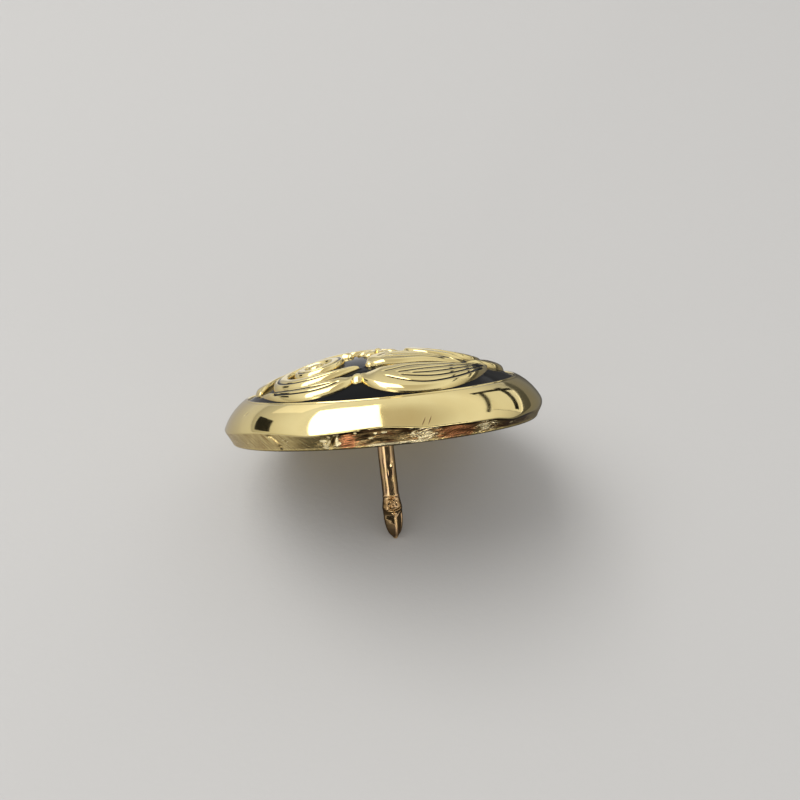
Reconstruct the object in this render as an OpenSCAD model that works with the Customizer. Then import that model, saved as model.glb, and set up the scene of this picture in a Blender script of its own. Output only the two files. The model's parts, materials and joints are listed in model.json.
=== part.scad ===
// Round lapel pin with a domed, enamelled face and a soldered post, lying on a table.
// It is worked out face up: the disc's axis is Z, its back edge is at z = 0 and the post points down.
// as_it_lies() then lays it on its back edge and the tip of its post.

/* [Disc] */
// Diameter at the crease, where the disc is widest
disc_d = 24; // [22:0.5:27]
// Height of the crease above the back edge
crease_h = 1.1; // [0.9:0.1:1.4]
// How far the lower band slopes in from the crease to the back edge
band_in = 0.5; // [0.3:0.05:0.7]
// Rounding of the back edge
edge_round = 0.2; // [0.1:0.05:0.3]
// Height of the lip round the face
lip_h = 3.2; // [3:0.1:3.6]
// Radius inside the lip
lip_in = 10; // [9.4:0.1:10.2]
// Width of the lip's flat top
lip_w = 0.22; // [0.1:0.02:0.4]
// Radius of the convex bevel's section
bevel_round = 4.2; // [3.6:0.1:9]

/* [Face] */
// Height of the raised scrolls at the middle of the face
face_h = 6.05; // [5.2:0.05:6.6]
// Height of the scrolls' sphere above the lip, at the lip's inner edge
face_over = 0.33; // [0.2:0.01:0.4]
// How far the enamel lies below the tops of the scrolls
enamel_down = 0.4; // [0.2:0.05:0.5]
// Depth of the bed that holds the enamel, below the tops of the scrolls
bed_down = 0.9; // [0.7:0.05:1.1]
// Thickness of the metal under the bed
wall = 1.1; // [0.8:0.1:1.4]
// Radius of the open back
back_in = 10.1; // [9.2:0.1:10.4]
// Gap between the enamel and the metal
enamel_gap = 0.02; // [0.01:0.01:0.04]

/* [Post] */
// Thickness of the post
post_d = 1.24; // [1:0.02:1.4]
// Length of the post below the back edge
post_l = 8.45; // [7:0.05:10]
// Plain shaft between the back edge and the notch
shaft_l = 5.2; // [4:0.1:6]
// Length of the notch that a clutch snaps into
notch_l = 1.1; // [0.8:0.1:1.4]
// Thickness of the post inside the notch
waist_d = 0.9; // [0.8:0.02:0.92]
// Thickness of the pointed end at its shoulder
head_d = 1.4; // [1.26:0.02:1.5]
// Radius of the solder fillet at the foot of the post
solder_round = 0.7; // [0.4:0.1:1]

/* [Rest] */
// Depth of the filed flat on the back edge that the pin lies on
flat_in = 0.1; // [0.05:0.01:0.14]

/* [Hidden] */
$fn = 96;
disc_r = disc_d / 2;
foot_r = disc_r - band_in;
lip_out = lip_in + lip_w;
post_r = post_d / 2;
tip_round = edge_round;

// Centre of the bevel's arc, which runs from the lip's outer edge to the crease
bevel_a = [lip_out, lip_h];
bevel_b = [disc_r, crease_h];
bevel_chord = bevel_b - bevel_a;
bevel_side = [bevel_chord[1], -bevel_chord[0]] / norm(bevel_chord);
bevel_c = (bevel_a + bevel_b) / 2 + bevel_side * sqrt(pow(bevel_round, 2) - pow(norm(bevel_chord) / 2, 2));

// The tops of the scrolls lie on a sphere that passes face_over above the lip's inner edge
rise = face_h - lip_h - face_over;
face_r = (pow(lip_in, 2) + pow(rise, 2)) / (2 * rise);
face_z = face_h - face_r;
enamel_r = face_r - enamel_down;
bed_r = face_r - bed_down;
back_r = bed_r - wall;
back_top = face_z + back_r;

// Rest: the tip's rounding and the filed flat touch one plane, at this tilt of the disc
edge_c = [foot_r - edge_round, edge_round];
tip_z = -post_l + tip_round;
tilt_arm = [edge_c[0], edge_c[1] - tip_z];
tilt = atan(tilt_arm[1] / tilt_arm[0]) + asin((tip_round - edge_round + flat_in) / norm(tilt_arm));
table_z = tip_z * cos(tilt) - tip_round;
near_y = -edge_c[0] * cos(tilt) + edge_c[1] * sin(tilt) - edge_round;
far_y = bevel_c[0] * cos(tilt) + bevel_c[1] * sin(tilt) + bevel_round;

// The scrolls are turned so far about the disc's axis, which puts the front motif a little to the left
SCROLLS_TURN = -12;
// Scrolls on one half of the face, seen from above with the front at -Y. The other half repeats them.
// Columns: start, first pull, second pull, tip, half width, half width at the start
LEAVES = [
    [[-0.35, -7.1], [2.3, -8.25], [6.5, -6.7], [8.2, -1.0], 1.62, 0.42],
    [[-1.4, -7.3], [-3.0, -8.4], [-6.1, -8.1], [-8.35, -4.1], 0.58, 0.34],
    [[-0.1, -4.6], [0.9, -3.2], [3.4, -2.35], [6.5, -2.75], 1.14, 0.4],
    [[-2.05, -0.4], [-2.85, 0.65], [-4.4, 1.1], [-6.4, 0.5], 0.52, 0.26],
    [[-8.65, -2.9], [-8.75, -1.2], [-8.2, 0.4], [-6.6, 1.6], 0.52, 0.24],
];
// Steps along a leaf, and the angle of one step round its start
LEAF_STEPS = 20;
ROOT_STEP = 30;
// Bead where the two leaves along the rim part
bead_c = [-0.85, -7.25];
bead_r = 0.52;
// The volute: a stem that winds in to a round eye
volute_c = [-4.45, -2.8];
volute_out = 4.2;
volute_in = 0.95;
volute_start = -32;
volute_turn = 545;
volute_half = 0.64;
eye_r = 0.92;
VOLUTE_STEPS = 36;
// The rosette in the middle
rosette_r = 1.1;
petal_r = 0.52;
PETALS = 6;

function along(p, u) =
    pow(1 - u, 3) * p[0] + 3 * pow(1 - u, 2) * u * p[1] + 3 * (1 - u) * u * u * p[2] + pow(u, 3) * p[3];
function heading(p, u) =
    pow(1 - u, 2) * (p[1] - p[0]) + 2 * (1 - u) * u * (p[2] - p[1]) + u * u * (p[3] - p[2]);
function across(v) = [-v[1], v[0]] / norm(v);
// Half width of a leaf: it swells from its start and narrows to its tip
function leaf_half(p, u) = p[5] * (1 - u) + p[4] * sin(180 * pow(u, 0.8));

// Outline of one leaf with a round start and a pointed tip, widened by grow on all sides
module leaf_plan(p, grow) {
    edge = function(i, side) let (u = i / LEAF_STEPS, d = heading(p, u))
        along(p, u) + side * (leaf_half(p, u) + grow) * across(d) + (i == LEAF_STEPS ? grow : 0) * d / norm(d);
    root = function(a) let (d = heading(p, 0))
        p[0] + (p[5] + grow) * (sin(a) * across(d) - cos(a) * d / norm(d));
    polygon([
        for (i = [0 : LEAF_STEPS]) edge(i, 1),
        for (i = [LEAF_STEPS : -1 : 0]) edge(i, -1),
        for (a = [ROOT_STEP - 90 : ROOT_STEP : 90 - ROOT_STEP]) root(a)
    ]);
}

// Outline of the volute: a pointed stem that swells, then narrows a little as it winds in
module volute_plan(grow) {
    reach = function(t) volute_out + (volute_in - volute_out) * sqrt(t);
    half = function(t) volute_half * (1 - 0.3 * t) * min(1, 0.25 + 8 * t) + grow;
    edge = function(i, side) let (t = i / VOLUTE_STEPS, a = volute_start - volute_turn * t)
        volute_c + (reach(t) + side * half(t)) * [cos(a), sin(a)];
    polygon([
        for (i = [0 : VOLUTE_STEPS]) edge(i, 1),
        for (i = [VOLUTE_STEPS : -1 : 0]) edge(i, -1)
    ]);
    translate(volute_c) circle(r = eye_r + grow);
}

// Everything that is raised on the face
module scrolls_plan(grow) {
    for (half = [0, 180]) rotate(SCROLLS_TURN + half) {
        for (p = LEAVES) leaf_plan(p, grow);
        volute_plan(grow);
        translate(bead_c) circle(r = bead_r + grow);
    }
    circle(r = rosette_r + grow);
    for (k = [0 : PETALS - 1]) rotate(SCROLLS_TURN + k * 360 / PETALS) translate([rosette_r, 0])
        circle(r = petal_r + grow);
}

// Cuts what it is given to the space between two spheres round the face's centre
module between_spheres(inner, outer) {
    difference() {
        intersection() {
            children();
            translate([0, 0, face_z]) sphere(r = outer);
        }
        translate([0, 0, face_z]) sphere(r = inner);
    }
}

// Half section of the disc, from its axis to the crease
module disc_section() {
    difference() {
        union() {
            difference() {
                polygon([
                    [0, 0], [edge_c[0], 0], [foot_r, edge_round],
                    [disc_r, crease_h], [disc_r, lip_h], [0, lip_h]
                ]);
                difference() {
                    translate(bevel_c) square(bevel_round * 2);
                    translate(bevel_c) circle(r = bevel_round);
                }
                square([lip_in, lip_h]);
            }
            translate(edge_c) circle(r = edge_round);
            intersection() {
                translate([0, face_z]) circle(r = bed_r);
                square([lip_in + lip_w / 2, face_h]);
            }
        }
        intersection() {
            translate([0, face_z]) circle(r = back_r);
            translate([0, -1]) square([back_in, face_h]);
        }
    }
}

// Half section of the post: solder fillet, shaft, notch, shoulder and bullet-shaped point
module post_section() {
    notch_top = -shaft_l;
    notch_end = notch_top - notch_l;
    head_r = head_d / 2;
    square_top = back_top + wall / 2;
    translate([0, notch_top]) square([post_r, square_top - notch_top]);
    translate([0, notch_end]) square([waist_d / 2, notch_l]);
    difference() {
        translate([0, back_top - solder_round]) square([post_r + solder_round, solder_round + wall / 2]);
        translate([post_r + solder_round, back_top - solder_round]) circle(r = solder_round);
    }
    polygon([
        [0, notch_end], [head_r * 0.9, notch_end], [head_r, notch_end - 0.15], [head_r * 0.96, notch_end - 0.8],
        [head_r * 0.72, notch_end - 1.45], [tip_round, tip_z], [0, tip_z]
    ]);
    intersection() {
        translate([0, tip_z]) circle(r = tip_round);
        translate([0, tip_z - tip_round]) square(tip_round);
    }
}

// Lays the pin down, with the middle of its box over the origin and the table at z = 0
module as_it_lies() {
    translate([0, -(near_y + far_y) / 2, -table_z]) rotate([-tilt, 0, 0]) children();
}

module struck_disc() {
    color("gold") difference() {
        as_it_lies() {
            rotate_extrude() disc_section();
            rotate_extrude() post_section();
            between_spheres(bed_r - wall / 2, face_r) linear_extrude(face_h + 1) scrolls_plan(0);
        }
        translate([0, 0, -5]) cube([disc_d, disc_d, 10], center = true);
    }
}

module enamel() {
    color("black") as_it_lies() difference() {
        between_spheres(bed_r + enamel_gap, enamel_r) cylinder(r = lip_in - enamel_gap, h = face_h + 1);
        linear_extrude(face_h + 1) scrolls_plan(enamel_gap);
    }
}

struck_disc();
enamel();
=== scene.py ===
"""Looks of a round lapel pin with a domed, enamelled face, built around its CAD frame.

Shapes are worked out in the disc's own frame, in millimetres: z runs along the disc's axis, the back
edge is at z = 0, the post points down and the camera stands on the -Y side. lay_down() then puts them
where the CAD model lies, in metres.
"""

import json
from functools import partial
from types import SimpleNamespace

import bpy
import numpy as np
from bpy.props import FloatProperty, FloatVectorProperty, PointerProperty
from mathutils import Matrix, Vector


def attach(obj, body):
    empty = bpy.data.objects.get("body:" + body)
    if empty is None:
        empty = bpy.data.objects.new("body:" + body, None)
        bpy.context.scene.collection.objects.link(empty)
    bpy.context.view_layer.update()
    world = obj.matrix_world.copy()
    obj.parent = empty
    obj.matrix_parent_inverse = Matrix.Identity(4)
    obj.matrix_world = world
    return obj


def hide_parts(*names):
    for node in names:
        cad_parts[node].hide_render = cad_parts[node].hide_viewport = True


bl_info = {
    "name": "Lapel pin",
    "version": (1, 0, 0),
    "blender": (4, 5, 0),
    "location": "View3D > Sidebar > Lapel pin",
    "description": "Builds the looks of a round enamelled lapel pin around its CAD frame",
    "category": "Object",
}

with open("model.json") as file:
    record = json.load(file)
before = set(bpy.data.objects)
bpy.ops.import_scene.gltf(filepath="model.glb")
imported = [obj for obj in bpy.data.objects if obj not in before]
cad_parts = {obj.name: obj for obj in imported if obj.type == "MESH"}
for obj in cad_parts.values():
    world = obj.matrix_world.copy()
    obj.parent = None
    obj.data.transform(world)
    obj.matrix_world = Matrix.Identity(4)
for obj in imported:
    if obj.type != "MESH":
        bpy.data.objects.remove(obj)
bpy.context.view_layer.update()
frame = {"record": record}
MM = 0.001

# The record's post mount points along the disc's axis, and its back_edge mount lies in the plane z = 0,
# straight out from the disc's middle along x
MOUNTS = {mount["name"]: mount for mount in frame["record"]["mounts"]}
DISC_AXIS = -np.array(MOUNTS["post"]["axis"])
DISC_AXIS /= np.linalg.norm(DISC_AXIS)
DISC_SIDE = np.array([1.0, 0.0, 0.0])
DISC_TURN = np.array([DISC_SIDE, np.cross(DISC_AXIS, DISC_SIDE), DISC_AXIS])
DISC_MIDDLE = np.array(MOUNTS["back_edge"]["pos_m"]) * [0, 1, 1]

# Camera, in the row frame: where it stands in millimetres, the way it looks, its lens and sensor in
# millimetres and its clipping distances in metres
CAMERA_PLACE = (-11.2715, -80.1543, 81.9554)
CAMERA_AIM = (0.1145385, 0.7342042, -0.6691973)
CAMERA_LENS = 65.568
CAMERA_SENSOR = 36.0
CAMERA_CLIP = (0.005, 10.0)

# Fixed sizes of the disc and the post in millimetres, as the CAD model has them
CREASE_HIGH = 1.1
LIP_WIDE = 0.22
BEVEL_ROUND = 4.2
FACE_OVER = 0.33
BED_DOWN = 0.9
WALL = 1.1
BACK_IN = 10.1
SOLDER_ROUND = 0.7
# Fixed sizes that only the looks have: the radius of the lip's rounded top, where the bevel's arc leaves the
# lip, in degrees from the disc's axis, and the rounding inside the back edge
LIP_BEAD = 0.1
BEVEL_START = 31.6
BACK_ROUND = 0.12
# Places round the rim are given in millimetres on a circle of this radius
RIM_RADIUS = 12.0
# Finishes of the rim, by their place in its list
POLISHED, FILED, SATIN = 0, 1, 2

# Height of the rim's crease above the back edge at angles round the disc, in degrees and millimetres.
# The lower band was filed by hand, so the crease wanders.
CREASE = (
    (-166, 1.14), (-146, 1.36), (-137, 1.32), (-130, 1.23), (-122, 1.08), (-116, 1.16), (-107, 1.29),
    (-99, 1.38), (-95, 1.36), (-89, 1.27), (-84, 1.07), (-72, 1.05), (-63, 1.0), (-55, 0.96),
    (-49, 0.72), (-45, 0.76), (-38, 0.9), (-20, 1.05), (10, 1.15), (50, 1.06), (90, 1.12), (130, 1.04),
    (165, 1.1),
)

# The scrolls are turned so far about the disc's axis
SCROLLS_TURN = np.radians(-12)
# Leaves on one half of the face, seen from above with the front at -Y. The other half repeats them.
# Columns: start, first pull, second pull, tip, half width, half width at the start
RIM_LEAF = ((-0.35, -7.1), (2.3, -8.25), (6.5, -6.7), (8.2, -1.0), 1.62, 0.42)
RIM_SPRIG = ((-1.4, -7.3), (-3.0, -8.4), (-6.1, -8.1), (-8.35, -4.1), 0.58, 0.34)
INNER_LEAF = ((-0.1, -4.6), (0.9, -3.2), (3.4, -2.35), (6.5, -2.75), 1.14, 0.4)
SMALL_LEAF = ((-2.05, -0.4), (-2.85, 0.65), (-4.4, 1.1), (-6.4, 0.5), 0.52, 0.26)
BUD = ((-8.65, -2.9), (-8.75, -1.2), (-8.2, 0.4), (-6.6, 1.6), 0.52, 0.24)
BEAD = ((-0.85, -7.25), 0.52)
VOLUTE = SimpleNamespace(
    middle=(-4.45, -2.8), outer=4.2, inner=0.95, start=-32.0, turn=545.0, half=0.64, eye=0.92
)
ROSETTE = SimpleNamespace(boss=1.1, petal=0.52, petals=6, button=0.42)
# Enamelled lines in the leaves: share of the half width, and where they start and end along the leaf
RIM_LINES = (
    (-0.72, 0.16, 0.9), (-0.4, 0.26, 0.95), (-0.08, 0.34, 0.96), (0.28, 0.24, 0.94), (0.66, 0.13, 0.88)
)
INNER_LINES = ((-0.62, 0.18, 0.88), (-0.2, 0.3, 0.94), (0.24, 0.24, 0.93), (0.66, 0.15, 0.86))
SPRIG_LINES = ((-0.32, 0.2, 0.9), (0.42, 0.12, 0.84))
VOLUTE_LINES = ((0.3, 0.02, 0.93),)
HALVES = (SCROLLS_TURN, SCROLLS_TURN + np.pi)
# How far scrolls reach down below the enamel's top, how wide their rounded shoulders are, and the half width
# and depth of a line
SINK = 0.35
SHOULDER = 0.22
LINE_HALF = 0.085
LINE_DEEP = 0.15
# The enamel in a line: how much wider than the line it is, how far it lies below the gold, how much it arches
# and how deep it reaches
INLAY_WIDE = 1.3
INLAY_DOWN = 0.05
INLAY_ARCH = 0.018
INLAY_DEEP = 0.24
# Half width that a scroll keeps at its ends
END_HALF = 0.004
# How high the enamel creeps up metal, and within how far of it
CREEP = 0.05
CREEP_REACH = 0.1
# Heights of the bosses over the enamel
EYE_HIGH = 0.46
PETALS_HIGH = 0.36
BUTTON_HIGH = 0.44
BEAD_HIGH = 0.42
# Every scroll but the eyes, beads and rosette: shape, height, arch, and the steps along and across it
SCROLLS = {
    "rim_leaves": (RIM_LEAF, RIM_LINES, 0.4, 0.06, 270, 110),
    "inner_leaves": (INNER_LEAF, INNER_LINES, 0.38, 0.06, 190, 90),
    "rim_sprigs": (RIM_SPRIG, SPRIG_LINES, 0.36, 0.06, 170, 60),
    "small_leaves": (SMALL_LEAF, (), 0.34, 0.14, 90, 40),
    "buds": (BUD, (), 0.32, 0.14, 90, 40),
    "volutes": (VOLUTE, VOLUTE_LINES, 0.35, 0.07, 400, 44),
}


def linear(colour):
    """An sRGB hex colour as linear red, green and blue."""
    srgb = np.array([int(colour[i : i + 2], 16) for i in (1, 3, 5)]) / 255
    return tuple(np.where(srgb > 0.04045, ((srgb + 0.055) / 1.055) ** 2.4, srgb / 12.92))


def rgba(colour):
    """An sRGB hex colour as a shader socket takes it: linear, with full opacity."""
    return (*linear(colour), 1.0)


def length(name, description, default, low, high):
    """Property for a length that a user may change, given here in millimetres."""
    return FloatProperty(
        name=name, description=description, default=default * MM, min=low * MM, max=high * MM,
        unit="LENGTH", precision=5,
    )


def tint(name, description, default):
    """Property for a colour that a user may change, given here as sRGB hex."""
    return FloatVectorProperty(
        name=name, description=description, default=linear(default), subtype="COLOR", size=3, min=0, max=1,
    )


class PinSizes(bpy.types.PropertyGroup):
    """Sizes of the pin that a user may change."""

    disc_diameter: length("Disc diameter", "Diameter at the crease", 24, 22, 27)
    band_in: length("Band slope", "How far the lower band slopes in to the back edge", 0.5, 0.3, 0.7)
    edge_round: length("Edge rounding", "Rounding of the back edge", 0.2, 0.1, 0.3)
    lip_height: length("Lip height", "Height of the thin lip round the enamel", 3.2, 3, 3.6)
    lip_radius: length("Lip radius", "Inner radius of the lip", 10, 9.4, 10.2)
    face_height: length("Face height", "Height of the dome's top above the back edge", 6.05, 5.2, 6.6)
    enamel_down: length("Enamel depth", "How far the enamel lies below the scrolls' dome", 0.4, 0.2, 0.5)
    post_diameter: length("Post diameter", "Diameter of the post's shaft", 1.24, 1.1, 1.3)
    post_length: length("Post length", "Length of the post below the back edge", 8.45, 7, 9.5)


class PinColours(bpy.types.PropertyGroup):
    """Colours of the pin and of the floor."""

    gold: tint("Gold plate", "Thin bright gold plate", "#F6E19F")
    gold_deep: tint("Deeper gold", "Gold plate where it is thicker or a little stained", "#E8C97E")
    copper: tint("Base metal", "Copper alloy where the file went through the plate", "#E89A66")
    # Pale gold of the cuts, partly their own colour and partly a painted highlight. It also paints a
    # highlight along the band's lower edge
    cut_gold_and_highlight: tint("Fresh cuts", "Pale gold where the file cut last", "#FFEDBC")
    post: tint("Post", "Flash plated post, redder than the disc", "#E6BD8E")
    solder: tint("Solder", "Plated solder round the post's root", "#D9CBA6")
    tarnish: tint("Tarnish", "Brown stain in the file's marks", "#7C5230")
    # Dark colour of the marks in the nick and the gouges. The filed band also paints shade with it, under the
    # crease and over one stretch
    dirt: tint("Dirt", "Dark dirt in the nick and the gouges", "#2A1D10")
    enamel: tint("Enamel", "Black hard enamel", "#0B0B0C")
    floor: tint("Floor", "Pale matt floor", "#B6B4B0")


def measures(context):
    """The sizes in millimetres, with the radii of the spheres that the face is made of.

    The scrolls' sphere has its top at the face's height and passes FACE_OVER above the lip's inner edge. Its
    radius is the lip's radius squared plus the rise squared, over twice the rise.
    """
    sizes = context.scene.pin_sizes
    m = SimpleNamespace(
        disc_r=sizes.disc_diameter / 2 / MM,
        round=sizes.edge_round / MM,
        lip_h=sizes.lip_height / MM,
        lip_in=sizes.lip_radius / MM,
        face_h=sizes.face_height / MM,
        post_r=sizes.post_diameter / 2 / MM,
        post_l=sizes.post_length / MM,
    )
    m.foot_r = m.disc_r - sizes.band_in / MM
    rise = m.face_h - m.lip_h - FACE_OVER
    m.face_r = (m.lip_in**2 + rise**2) / (2 * rise)
    m.face_z = m.face_h - m.face_r
    m.enamel_r = m.face_r - sizes.enamel_down / MM
    m.bed_r = m.face_r - BED_DOWN
    m.back_r = m.bed_r - WALL
    return m


def lay_down(points):
    """Points of the disc's frame in the row frame, in metres.

    They are the disc's middle plus x, y and z times its directions.
    """
    return DISC_MIDDLE + points @ DISC_TURN * MM


def smooth_step(x, low, high):
    """0 below low, 1 above high, and a cubic with level ends between."""
    t = np.clip((x - low) / (high - low), 0, 1)
    return t * t * (3 - 2 * t)


def between(x, rise, fall):
    """1 from the end of rise to the start of fall, 0 outside them, and a level-ended cubic over each."""
    return smooth_step(x, *rise) * (1 - smooth_step(x, *fall))


def dent(x, y, long, wide, lean):
    """Gaussian dent of depth 1: e to minus the squares of the offsets along and across it, in half sizes."""
    c, s = np.cos(np.radians(lean)), np.sin(np.radians(lean))
    return np.exp(-(((c * x + s * y) / long) ** 2) - ((c * y - s * x) / wide) ** 2)


def ripples(x, y, seed, count, longest, shortest, stretch=1.0):
    """Uneven surface of height about 1: a sum of sine waves of seeded directions, lengths and phases.

    stretch lengthens them along x. The sum is divided by the square root of half their count.
    """
    rng = np.random.default_rng(seed)
    way = rng.uniform(0, np.pi, count)
    wavelength = shortest * (longest / shortest) ** rng.uniform(0, 1, count)
    phase = rng.uniform(0, 2 * np.pi, count)
    total = np.zeros(np.broadcast(x, y).shape)
    for a, wave, start in zip(way, wavelength, phase):
        total += np.sin(2 * np.pi * (np.cos(a) * x / stretch + np.sin(a) * y) / wave + start)
    return total * np.sqrt(2 / count)


def skin(rings, flow, zones=None):
    """Closed surface through rings of points, with its faces outwards.

    Faces with four corners join each ring to the next, and a point in the middle of the first and last ring
    closes the ends. flow has one more column than the rings and gives each point's place on the surface in
    millimetres. zones gives the finish between each two rings. Where the enclosed volume, summed over the
    faces' corners, comes out negative, the faces are turned round.
    """
    rows, columns = rings.shape[:2]
    points = np.concatenate([rings.reshape(-1, 3), rings[:1].mean(1), rings[-1:].mean(1)])
    i, j = np.meshgrid(np.arange(rows - 1), np.arange(columns), indexing="ij")
    nxt = (j + 1) % columns
    quads = np.stack([i * columns + j, i * columns + nxt, (i + 1) * columns + nxt, (i + 1) * columns + j], -1)
    quads = quads.reshape(-1, 4)
    quad_flow = np.stack([flow[i, j], flow[i, j + 1], flow[i + 1, j + 1], flow[i + 1, j]], -2)
    j = np.arange(columns)
    nxt = (j + 1) % columns
    first, last = rows * columns, rows * columns + 1
    below = (rows - 1) * columns
    tris = np.concatenate([
        np.stack([np.full(columns, first), nxt, j], -1),
        np.stack([np.full(columns, last), below + j, below + nxt], -1),
    ])
    tri_flow = np.concatenate([
        np.stack([(flow[k, j] + flow[k, j + 1]) / 2, flow[k, j + a], flow[k, j + b]], -2)
        for k, a, b in ((0, 1, 0), (-1, 0, 1))
    ])
    zones = np.zeros(rows - 1, int) if zones is None else zones
    a, b, c, d = (points[quads[:, k]] for k in range(4))
    volume = np.einsum("ij,ij->", a, np.cross(b, c) + np.cross(c, d))
    order = slice(None, None, -1 if volume < 0 else 1)
    return SimpleNamespace(
        points=points,
        quads=quads[:, order],
        quad_flow=quad_flow.reshape(-1, 4, 2)[:, order],
        tris=tris[:, order],
        tri_flow=tri_flow[:, order],
        zones=np.repeat(np.r_[zones, zones[0], zones[-1]], columns),
    )


def make_piece(name, skins, finishes, node):
    """One mesh of closed skins, laid down in the row frame and riding on the CAD body in place of a node.

    A point that would come out below the floor is put on it.
    """
    starts = np.cumsum([0] + [len(s.points) for s in skins])
    quads = [s.quads + k for s, k in zip(skins, starts)]
    tris = [s.tris + k for s, k in zip(skins, starts)]
    corners = np.concatenate([part.ravel() for pair in zip(quads, tris) for part in pair])
    flow = np.concatenate([part.reshape(-1, 2) for s in skins for part in (s.quad_flow, s.tri_flow)])
    lengths = np.concatenate([np.repeat([4, 3], [len(s.quads), len(s.tris)]) for s in skins])
    mesh = bpy.data.meshes.new(name)
    points = lay_down(np.concatenate([s.points for s in skins]))
    points[:, 2] = np.maximum(points[:, 2], 0)
    mesh.vertices.add(len(points))
    mesh.vertices.foreach_set("co", points.astype(np.float32).ravel())
    mesh.loops.add(len(corners))
    mesh.loops.foreach_set("vertex_index", corners.astype(np.int32))
    mesh.polygons.add(len(lengths))
    mesh.polygons.foreach_set("loop_start", (np.cumsum(lengths) - lengths).astype(np.int32))
    mesh.polygons.foreach_set("material_index", np.concatenate([s.zones for s in skins]).astype(np.int32))
    mesh.polygons.foreach_set("use_smooth", np.ones(len(lengths), bool))
    layer = mesh.uv_layers.new(name="surface_mm")
    layer.data.foreach_set("uv", flow.astype(np.float32).ravel())
    mesh.update(calc_edges=True)
    if mesh.validate():
        raise RuntimeError(f"{name}: the mesh had faces that Blender had to repair")
    for finish_name in finishes:
        mesh.materials.append(finish(finish_name))
    piece = bpy.data.objects.new(name, mesh)
    bpy.context.scene.collection.objects.link(piece)
    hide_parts(node)
    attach(piece, "root")
    return piece


def on_dome(x, y, radius, m):
    """Points over x and y on a sphere of that radius round the face's centre.

    z is the centre's plus the square root of the radius squared less the distance from the axis squared.
    """
    return np.stack(np.broadcast_arrays(x, y, m.face_z + np.sqrt(radius**2 - x**2 - y**2)), -1)


def turned(points, angle):
    """Points of a face's half, turned about the disc's axis."""
    c, s = np.cos(angle), np.sin(angle)
    x, y = points[..., 0], points[..., 1]
    return np.stack([c * x - s * y, s * x + c * y, points[..., 2]], -1)


def plain_flow(rings):
    """Place on a surface in millimetres: the length along the rings' middles, and round each ring."""
    along = np.r_[0, np.cumsum(np.linalg.norm(np.diff(rings.mean(1), axis=0), axis=-1))]
    closed = np.concatenate([rings, rings[:, :1]], 1)
    across = np.cumsum(np.linalg.norm(np.diff(closed, axis=1), axis=-1), axis=1)
    across = np.concatenate([np.zeros((len(rings), 1)), across], 1)
    return np.stack([np.broadcast_to(along[:, None], across.shape), across], -1)


# Rim

# Knocks in the lower band: place in degrees round the rim and millimetres past that, height, half length,
# half width, lean in degrees and depth
KNOCKS = (
    (-114.4, 0, 0.5, 0.5, 0.09, 55, 0.24), (-114.4, -0.42, 0.8, 0.3, 0.3, 30, 0.11),
    (-114.4, 0.5, 0.8, 0.35, 0.3, 0, 0.11), (-114.4, -1.0, 0.6, 0.3, 0.12, 40, 0.05),
    (-108.8, 0, 1.05, 0.6, 0.4, 0, 0.12), (-73, 0, 1.0, 1.1, 0.35, 0, 0.08),
    (-82, 0, 0.95, 0.75, 0.4, 0, 0.15), (-60, 0, 0.85, 0.9, 0.35, 0, 0.13),
    (-137.1, 0, 0.88, 0.48, 0.085, -35, 0.18), (-139.2, 0, 1.12, 0.3, 0.07, 0, 0.08),
    (-135.2, 0, 0.38, 0.16, 0.09, 0, 0.1),
)
# The file's marks: range of degrees round the rim, count, half lengths and depths
FILE_MARKS = (
    (-87, -77, 20, (0.1, 0.4), (0.025, 0.07)), (-66, -50, 30, (0.08, 0.3), (0.025, 0.07)),
    (-112, -42, 30, (0.25, 0.8), (0.006, 0.02)), (-180, 180, 50, (0.15, 0.6), (0.003, 0.014)),
)
# Their heights, half widths and leans
MARK_HEIGHTS = (0.2, 1.05)
MARK_WIDTHS = (0.04, 0.08)
MARK_LEANS = (-25, 30)
# Height of the burr along the lower edge
BURR = 0.06


def crease_height(angle):
    """Height of the crease at angles in radians.

    It runs straight between the table's entries and is then blurred by a Gaussian of 2 degrees, so that it
    keeps the file's flats.
    """
    step, blur = 0.5, 2.0
    fine = np.arange(-180, 180, step)
    table = np.array(CREASE, float)
    height = np.interp(fine, table[:, 0], table[:, 1], period=360)
    offsets = np.arange(-8, 9)
    weights = np.exp(-((offsets * step / blur) ** 2))
    height = sum(w * np.roll(height, k) for k, w in zip(offsets, weights / weights.sum()))
    return np.interp(np.degrees(angle), fine, height, period=360)


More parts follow.
